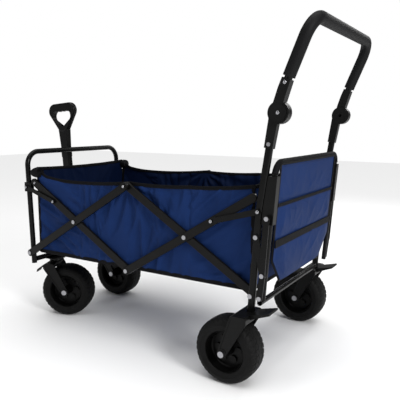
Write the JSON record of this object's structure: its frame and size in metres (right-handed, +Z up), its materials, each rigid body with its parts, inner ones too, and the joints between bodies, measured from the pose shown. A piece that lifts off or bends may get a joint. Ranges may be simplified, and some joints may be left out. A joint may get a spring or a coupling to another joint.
{
  "type": "folding beach cart",
  "caption": "Folding beach cart: scissor side frame, fabric basket, push handle on tilting joints, telescoping pull handle, swivel front casters.",
  "frame": {"origin": "on the ground under the middle of the whole cart", "axes": "+X towards the push handle at the rear, +Y towards the right side, +Z up"},
  "size_m": [1.2544, 0.691, 1.0416],
  "materials": {
    "frame_steel": "satin black powder coat",
    "arm_steel": "satin black powder coat on pressed channel",
    "pull_tube_steel": "satin black",
    "black_plastic": "fine moulded grain",
    "hub_plastic": "moulded, dull",
    "zinc": "zinc plated",
    "tyre_rubber": "soft moulded tread",
    "foam": "closed cell foam",
    "navy_cloth": "coated polyester weave"
  },
  "bodies": {
    "rear_frame": {"rear_post_left": "frame_steel", "rear_post_right": "frame_steel", "rear_hoop": "frame_steel", "rear_cross_tube": "frame_steel", "rear_stays": "frame_steel", "post_brackets": "black_plastic", "rear_fork_left": "black_plastic", "rear_fork_right": "black_plastic", "lower_handle_sleeves": "black_plastic", "rear_fasteners": "zinc", "rear_wall": "navy_cloth", "rear_pocket_panel": "navy_cloth", "basket_floor": "navy_cloth", "basket_side_left": "navy_cloth", "basket_side_right": "navy_cloth"},
    "rear_wheel_left": {"rear_tyre_left": "tyre_rubber", "rear_hub_left": "hub_plastic"},
    "rear_wheel_right": {"rear_tyre_right": "tyre_rubber", "rear_hub_right": "hub_plastic"},
    "rear_inner_arms": {"rear_inner_arm_left": "arm_steel", "rear_inner_arm_right": "arm_steel", "rear_inner_plugs": "black_plastic", "rear_cross_rivets": "zinc"},
    "rear_outer_arms": {"rear_outer_arm_left": "arm_steel", "rear_outer_arm_right": "arm_steel", "rear_outer_plugs": "black_plastic"},
    "front_inner_arms": {"front_inner_arm_left": "arm_steel", "front_inner_arm_right": "arm_steel", "front_inner_plugs": "black_plastic", "lower_joint_rivets": "zinc", "front_cross_rivets": "zinc"},
    "front_outer_arms": {"front_outer_arm_left": "arm_steel", "front_outer_arm_right": "arm_steel", "front_outer_plugs": "black_plastic"},
    "front_frame": {"front_hoop": "frame_steel", "front_cross_tube": "frame_steel", "leg_clamps": "black_plastic", "front_pivot_rivets": "zinc", "caster_sockets": "frame_steel", "pull_handle_bracket": "frame_steel", "front_panel": "navy_cloth"},
    "rear_link_pair": {"rear_links": "frame_steel"},
    "front_link_pair": {"front_links": "frame_steel"},
    "push_handle": {"push_handle_tube": "frame_steel", "push_handle_grip": "foam", "upper_handle_sleeves": "black_plastic"},
    "pull_tube": {"pull_tube_outer": "pull_tube_steel"},
    "pull_slider": {"pull_tube_inner": "pull_tube_steel", "pull_grip": "black_plastic"},
    "caster_left": {"caster_fork_left": "black_plastic", "caster_axle_left": "zinc"},
    "caster_wheel_left": {"caster_tyre_left": "tyre_rubber", "caster_hub_left": "hub_plastic"},
    "brake_pedal_left": {"brake_pedal_left": "black_plastic"},
    "caster_right": {"caster_fork_right": "black_plastic", "caster_axle_right": "zinc"},
    "caster_wheel_right": {"caster_tyre_right": "tyre_rubber", "caster_hub_right": "hub_plastic"},
    "brake_pedal_right": {"brake_pedal_right": "black_plastic"}
  },
  "joints": [
    {"name": "fold", "type": "hinge", "parent": "rear_frame", "child": "rear_inner_arms", "pos_m": [0.451, 0, 0.266], "axis": [0, 1, 0], "range_deg": [0, 40], "deforming": ["basket_floor", "basket_side_left", "basket_side_right"]},
    {"name": "rear_cross", "type": "hinge", "parent": "rear_inner_arms", "child": "rear_outer_arms", "pos_m": [0.2195, 0, 0.408], "axis": [0, 1, 0], "range_deg": [-80, 0]},
    {"name": "lower_joint", "type": "hinge", "parent": "rear_outer_arms", "child": "front_inner_arms", "pos_m": [-0.012, 0, 0.266], "axis": [0, 1, 0], "range_deg": [0, 80]},
    {"name": "front_cross", "type": "hinge", "parent": "front_inner_arms", "child": "front_outer_arms", "pos_m": [-0.2435, 0, 0.408], "axis": [0, 1, 0], "range_deg": [-80, 0]},
    {"name": "front_pivot", "type": "hinge", "parent": "front_outer_arms", "child": "front_frame", "pos_m": [-0.475, 0, 0.266], "axis": [0, 1, 0], "range_deg": [0, 40]},
    {"name": "rear_link_pivot", "type": "hinge", "parent": "rear_frame", "child": "rear_link_pair", "pos_m": [0.47137, 0, 0.513], "axis": [0, 1, 0], "range_deg": [0, 78]},
    {"name": "front_link_pivot", "type": "hinge", "parent": "front_frame", "child": "front_link_pair", "pos_m": [-0.485, 0, 0.515], "axis": [0, 1, 0], "range_deg": [-82.4, 0]},
    {"name": "rear_wheel_spin_left", "type": "hinge", "parent": "rear_frame", "child": "rear_wheel_left", "pos_m": [0.392, -0.287, 0.0995], "axis": [0, 1, 0], "continuous": true},
    {"name": "caster_swivel_left", "type": "hinge", "parent": "front_frame", "child": "caster_left", "pos_m": [-0.47, -0.16, 0.215], "axis": [0, 0, 1], "continuous": true},
    {"name": "caster_wheel_spin_left", "type": "hinge", "parent": "caster_left", "child": "caster_wheel_left", "pos_m": [-0.41545, -0.13502, 0.0995], "axis": [-0.4163, 0.9092, 0], "continuous": true},
    {"name": "brake_pedal_left_press", "type": "hinge", "parent": "caster_left", "child": "brake_pedal_left", "pos_m": [-0.49637, -0.17207, 0.192], "axis": [-0.4163, 0.9092, 0], "range_deg": [-18, 0]},
    {"name": "rear_wheel_spin_right", "type": "hinge", "parent": "rear_frame", "child": "rear_wheel_right", "pos_m": [0.392, 0.287, 0.0995], "axis": [0, 1, 0], "continuous": true},
    {"name": "caster_swivel_right", "type": "hinge", "parent": "front_frame", "child": "caster_right", "pos_m": [-0.47, 0.16, 0.215], "axis": [0, 0, 1], "continuous": true},
    {"name": "caster_wheel_spin_right", "type": "hinge", "parent": "caster_right", "child": "caster_wheel_right", "pos_m": [-0.41006, 0.16262, 0.0995], "axis": [-0.0436, 0.999, 0], "continuous": true},
    {"name": "brake_pedal_right_press", "type": "hinge", "parent": "caster_right", "child": "brake_pedal_right", "pos_m": [-0.49897, 0.15873, 0.192], "axis": [-0.0436, 0.999, 0], "range_deg": [-18, 0]},
    {"name": "push_handle_tilt", "type": "hinge", "parent": "rear_frame", "child": "push_handle", "pos_m": [0.5255, 0, 0.7825], "axis": [0, 1, 0], "range_deg": [-22, 125]},
    {"name": "pull_handle_swing", "type": "hinge", "parent": "front_frame", "child": "pull_tube", "pos_m": [-0.508, 0, 0.238], "axis": [0, 1, 0], "range_deg": [-80, 0]},
    {"name": "pull_handle_extend", "type": "slide", "parent": "pull_tube", "child": "pull_slider", "axis": [-0.0837, 0, 0.9965], "range_m": [0, 0.26]}
  ],
  "couplings": [
    {"joint": "rear_cross", "follows": "fold", "ratio": -2},
    {"joint": "lower_joint", "follows": "fold", "ratio": 2},
    {"joint": "front_cross", "follows": "fold", "ratio": -2},
    {"joint": "front_pivot", "follows": "fold", "ratio": 1},
    {"joint": "rear_link_pivot", "follows": "fold", "ratio": 1.95},
    {"joint": "front_link_pivot", "follows": "fold", "ratio": -2.06}
  ]
}
